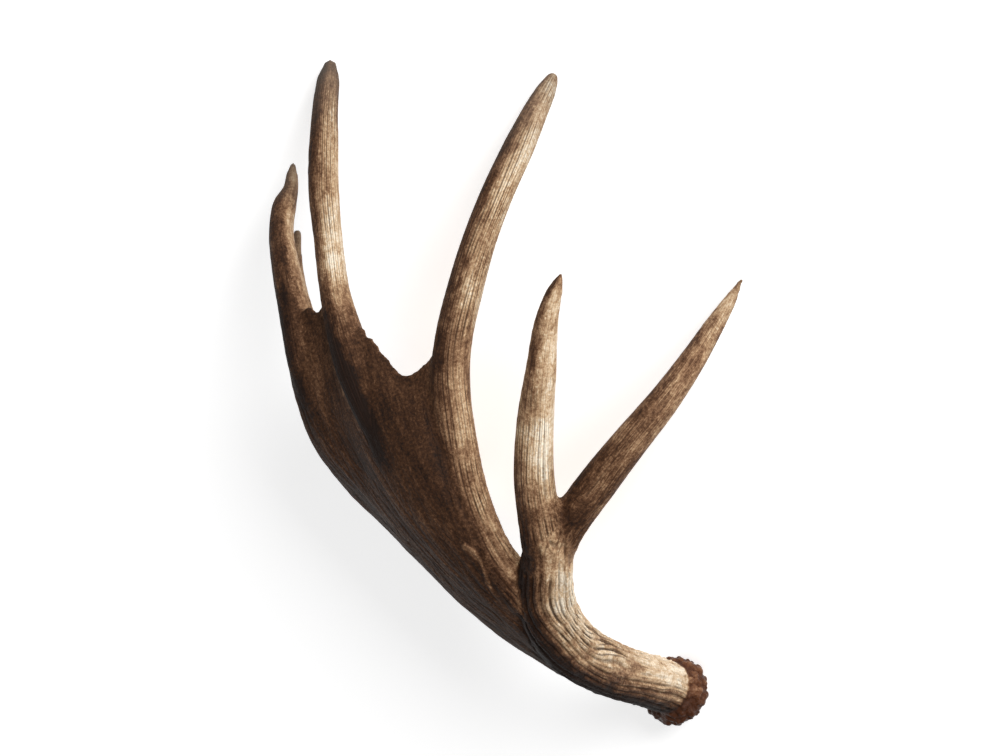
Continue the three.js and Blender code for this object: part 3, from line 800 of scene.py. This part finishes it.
def bone_material(name, streak_contrast, crack_share, roughness):
    """Bone whose colour is read from a ramp of stains by the tone painted on the skin, broken by
    streaks along the grain, flakes and grit, and dark in the grooves and fine cracks."""
    material = bpy.data.materials.new(name)
    material.use_nodes = True
    tree = material.node_tree
    tree.nodes.clear()
    looks = {key: add_node(tree, "ShaderNodeAttribute", attribute_name=key).outputs
             for key in ("tone", "groove", "grey", "warmth", "around", "fibre")}
    streak_noise = add_node(tree, "ShaderNodeTexNoise", {
        "Vector": looks["fibre"]["Vector"], "Scale": 1.3, "Detail": 3.0, "Roughness": 0.6})
    place = add_node(tree, "ShaderNodeTexCoord")
    streak = add_math(tree, "MULTIPLY_ADD", streak_noise.outputs[0], streak_contrast,
                      -0.5 * streak_contrast)
    specks = []
    for width, contrast, level in (FLAKES, GRIT):
        speck_noise = add_node(tree, "ShaderNodeTexNoise", {
            "Vector": place.outputs["Object"], "Scale": 1000 / width, "Detail": 2.0})
        specks.append(add_math(tree, "MULTIPLY_ADD", speck_noise.outputs[0], contrast, level))
    mottle = add_math(tree, "ADD", streak, add_math(tree, "ADD", *specks))
    stain = add_math(tree, "ADD", looks["tone"]["Fac"], mottle)
    ramp = add_node(tree, "ShaderNodeValToRGB", {"Fac": stain})
    stops = ramp.color_ramp.elements
    while len(stops) < len(BONE_TONES):
        stops.new(0.5)
    for stop, (position, code) in zip(stops, BONE_TONES):
        stop.position = position
        stop.color = linear(code)

    sides = add_node(tree, "ShaderNodeSeparateXYZ", {0: looks["around"]["Vector"]})
    fibres = add_node(tree, "ShaderNodeSeparateXYZ", {0: looks["fibre"]["Vector"]})
    angle = add_math(tree, "ARCTAN2", sides.outputs[1], sides.outputs[0])
    turn = add_math(tree, "MULTIPLY_ADD", angle, GROOVES_ROUND, sides.outputs[2])
    double = add_math(tree, "MULTIPLY_ADD", turn, 2.0, fibres.outputs[1])
    dark = []
    for place_round, low, high, share in ((turn, 0.5, 0.98, 1.0), (double, 0.35, 0.95, crack_share)):
        dark.append(add_node(tree, "ShaderNodeMapRange", {
            "Value": add_math(tree, "COSINE", place_round), "From Min": low, "From Max": high,
            "To Max": share}, interpolation_type="SMOOTHSTEP").outputs[0])
    cut = add_math(tree, "MULTIPLY", add_math(tree, "MAXIMUM", *dark), looks["groove"]["Fac"])
    colour = ramp.outputs["Color"]
    for amount, code, share in ((looks["grey"]["Fac"], WEATHERED, 0.6),
                                (looks["warmth"]["Fac"], RESIN, 0.25),
                                (cut, GROOVE_STAIN, 0.88)):
        part = add_math(tree, "MULTIPLY", amount, share, use_clamp=True)
        colour = add_node(tree, "ShaderNodeMix", {0: part, 6: colour, 7: linear(code)},
                          data_type="RGBA").outputs[2]
    dull = add_node(tree, "ShaderNodeMapRange", {
        "Value": looks["warmth"]["Fac"], "To Min": roughness,
        "To Max": RESIN_ROUGHNESS})
    relief = add_math(tree, "MULTIPLY_ADD", cut, -0.5, mottle)
    bump = add_node(tree, "ShaderNodeBump", {
        "Height": relief, "Strength": 0.8, "Distance": BUMP_DEPTH})
    shader = add_node(tree, "ShaderNodeBsdfPrincipled", {
        "Base Color": colour, "Roughness": dull.outputs[0], "IOR": 1.5,
        "Specular IOR Level": GLOSS, "Normal": bump.outputs[0]})
    add_node(tree, "ShaderNodeOutputMaterial", {"Surface": shader.outputs[0]})
    return material


ridged_bone = bone_material("dry_ridged_antler_bone", streak_contrast=0.5, crack_share=0.75,
                            roughness=0.66)
palm_bone = bone_material("stained_palm_antler_bone", streak_contrast=0.32, crack_share=0.6,
                          roughness=0.7)


# ------------------------------------------------------------------------- pieces of the antler
# The one skin is parted at its main forks, and the broad palm also into three bands. Each opening is
# closed by a hidden ladder of faces, so that the pieces are solid and meet without a step.
PIECES = [  # name, CAD node, slot, material
    ("antler_beam", "beam", "ridged_bone", ridged_bone),
    ("antler_palm_root", "palm", "palm_bone", palm_bone),
    ("antler_palm_middle", "palm", "palm_bone", palm_bone),
    ("antler_palm_rim", "palm", "palm_bone", palm_bone),
    ("antler_brow_outer", "brow_tine_outer", "ridged_bone", ridged_bone),
    ("antler_brow_inner", "brow_tine_inner", "ridged_bone", ridged_bone),
    ("antler_tine_front", "palm_tine_front", "ridged_bone", ridged_bone),
    ("antler_tine_middle", "palm_tine_middle", "ridged_bone", ridged_bone),
    ("antler_tine_rear", "palm_tine_rear", "ridged_bone", ridged_bone),
]
CUTS = [("outer_brow", OUTER_BROW_CUT), ("inner_brow", INNER_BROW_CUT), ("front_tine", FRONT_CUT),
        ("middle_tine", MIDDLE_CUT), ("rear_tine", REAR_CUT)]
FIRST_CUT_PIECE = 4  # the number in PIECES of the first one that a cut parts
BANDS = (0.46, 0.74)  # shares of the way out over the palm at which its bands meet
TRUNK = ("beam", "outer_brow", "inner_brow")
BORDER_ROUNDS = 14  # of smoothing, so that the borders run without steps
TINE_GAP = 7  # millimetres from a tine within which the skin past its cut belongs to it


def border_loops(start, end):
    """Closed loops of vertex numbers that follow border edges from start to end."""
    after = dict(zip(start.tolist(), end.tolist()))
    loops = []
    while after:
        loop = [next(iter(after))]
        while loop[-1] in after:
            loop.append(after.pop(loop[-1]))
        loops.append(np.array(loop[1:]))
    return loops


def ladder(loop):
    """Triangles that close a loop: from its farthest corner both sides are walked together, each
    step on the side that makes the shorter rung, so that the rungs stay inside the bone."""
    reach = np.linalg.norm(skin[loop] - skin[loop].mean(axis=0), axis=1)
    loop = np.roll(loop, -np.argmax(reach))
    low, high = 0, len(loop) - 1
    triangles = []
    while high - low > 1:
        a, b, after_a, before_b = loop[low], loop[high], loop[low + 1], loop[high - 1]
        if np.linalg.norm(skin[after_a] - skin[b]) < np.linalg.norm(skin[a] - skin[before_b]):
            triangles.append((after_a, a, b))
            low += 1
        else:
            triangles.append((a, b, before_b))
            high -= 1
    return np.array(triangles)


trunk_gap = np.min([on_branch[name]["gap"] for name in TRUNK], axis=0)
palm_gap = np.min([on_palm["gap"]] + [on_branch[name]["gap"] for name in branches
                                      if name not in TRUNK], axis=0)
lead, outward = palm_gap - trunk_gap, on_palm["outward"]
for _ in range(BORDER_ROUNDS):
    lead, outward = neighbour_mean(lead, faces), neighbour_mean(outward, faces)
band = 1 + np.sum([outward[faces].mean(axis=1) > share for share in BANDS], axis=0)
label = np.where(lead[faces].mean(axis=1) < 0, band, 0)
for number, (name, cut) in enumerate(CUTS):
    reach = on_branch[name]
    beside = reach["gap"][faces].mean(axis=1) < TINE_GAP
    label[(reach["row"][faces].mean(axis=1) > cut) & beside] = FIRST_CUT_PIECE + number

start, end = edges_of(faces)
edge_key = np.minimum(start, end).astype(np.int64) * len(vertices) + np.maximum(start, end)
order = np.argsort(edge_key, kind="stable")
edge_label = np.repeat(label, 4)
twin_label = np.empty_like(edge_label)
twin_label[order[0::2]], twin_label[order[1::2]] = edge_label[order[1::2]], edge_label[order[0::2]]
for number, (name, node, slot_name, material) in enumerate(PIECES):
    own = faces[label == number]
    border = (edge_label == number) & (twin_label != number)
    caps = np.concatenate([ladder(loop) for loop in border_loops(start[border], end[border])])
    kept = np.unique(own)
    renumber = np.full(len(vertices), -1)
    renumber[kept] = np.arange(len(kept))
    piece = new_object(name, skin[kept], renumber[own], renumber[caps])
    mesh = piece.data
    mesh.shade_smooth()
    mesh.normals_split_custom_set_from_vertices(skin_normals[kept])
    for key, values in (("tone", tone), ("groove", groove), ("grey", grey), ("warmth", warmth)):
        layer = mesh.attributes.new(key, "FLOAT", "POINT")
        layer.data.foreach_set("value", values[kept].astype(np.float32))
    for key, values in (("around", around), ("fibre", fibre)):
        layer = mesh.attributes.new(key, "FLOAT_VECTOR", "POINT")
        layer.data.foreach_set("vector", values[kept].astype(np.float32).ravel())
    mesh.materials.append(material)
    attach(piece, "root")
    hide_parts(node)


# ----------------------------------------------------------------------- floor, lights and camera
# A plain pale floor, a soft light low in front, a weaker one behind and an even pale room.
FLOOR_HALF = 6.0
FLOOR_COLOUR = "f4f4f4"
FLOOR_GLOW = 0.5
ROOM_LIGHT = 0.3
VIEWPOINT = np.array([76, -61, 2377])  # camera in the growth frame, in millimetres
SIGHT = np.array([-124, 186, -1291])  # way to the middle of the antler
LENS, SENSOR = 97, 36  # millimetres
LIGHT_DISTANCE = 2.4
LIGHTS = [  # name, way to it, size and power
    ("key", (-0.17, -0.88, 0.42), 0.7, 58),
    ("fill", (0.3, 0.9, 0.3), 1.6, 12),
]
TARGET = np.array([0.0, 0.0, 0.09])

floor = new_object("floor", np.array([[-1, -1, 0], [1, -1, 0], [1, 1, 0], [-1, 1, 0]]) * FLOOR_HALF,
                   np.array([[0, 1, 2, 3]]))
paper = bpy.data.materials.new("matt_white_paper")
paper.use_nodes = True
paper_shader = paper.node_tree.nodes["Principled BSDF"]
paper_shader.inputs["Base Color"].default_value = linear(FLOOR_COLOUR)
paper_shader.inputs["Roughness"].default_value = 0.9
paper_shader.inputs["Emission Color"].default_value = linear("ffffff")
paper_shader.inputs["Emission Strength"].default_value = FLOOR_GLOW
floor.data.materials.append(paper)

scene = bpy.context.scene
scene.view_settings.view_transform = "Standard"
world = bpy.data.worlds.new("pale_studio")
world.use_nodes = True
world.node_tree.nodes["Background"].inputs["Color"].default_value = linear("ffffff")
world.node_tree.nodes["Background"].inputs["Strength"].default_value = ROOM_LIGHT
scene.world = world


def put(name, data, place, back, up):
    """A lamp or camera at a place, with its back turned one way and its top towards another."""
    thing = bpy.data.objects.new(name, data)
    back = unit(np.array(back, float))
    right = unit(np.cross(up, back))
    turned = np.column_stack([right, np.cross(back, right), back, place])
    thing.matrix_world = Matrix([*turned.tolist(), [0, 0, 0, 1]])
    scene.collection.objects.link(thing)
    return thing


for name, way, size, power in LIGHTS:
    lamp = bpy.data.lights.new(name, "AREA")
    lamp.size = size
    lamp.energy = power
    put(name, lamp, TARGET + unit(np.array(way)) * LIGHT_DISTANCE, way, (0, 0.01, 1))

camera_data = bpy.data.cameras.new("camera")
camera_data.lens = LENS
camera_data.sensor_width = SENSOR
camera_data.clip_end = 30
scene.camera = put("camera", camera_data, laid(VIEWPOINT), -SIGHT @ LAY.T, [0, 1, 0] @ LAY.T)
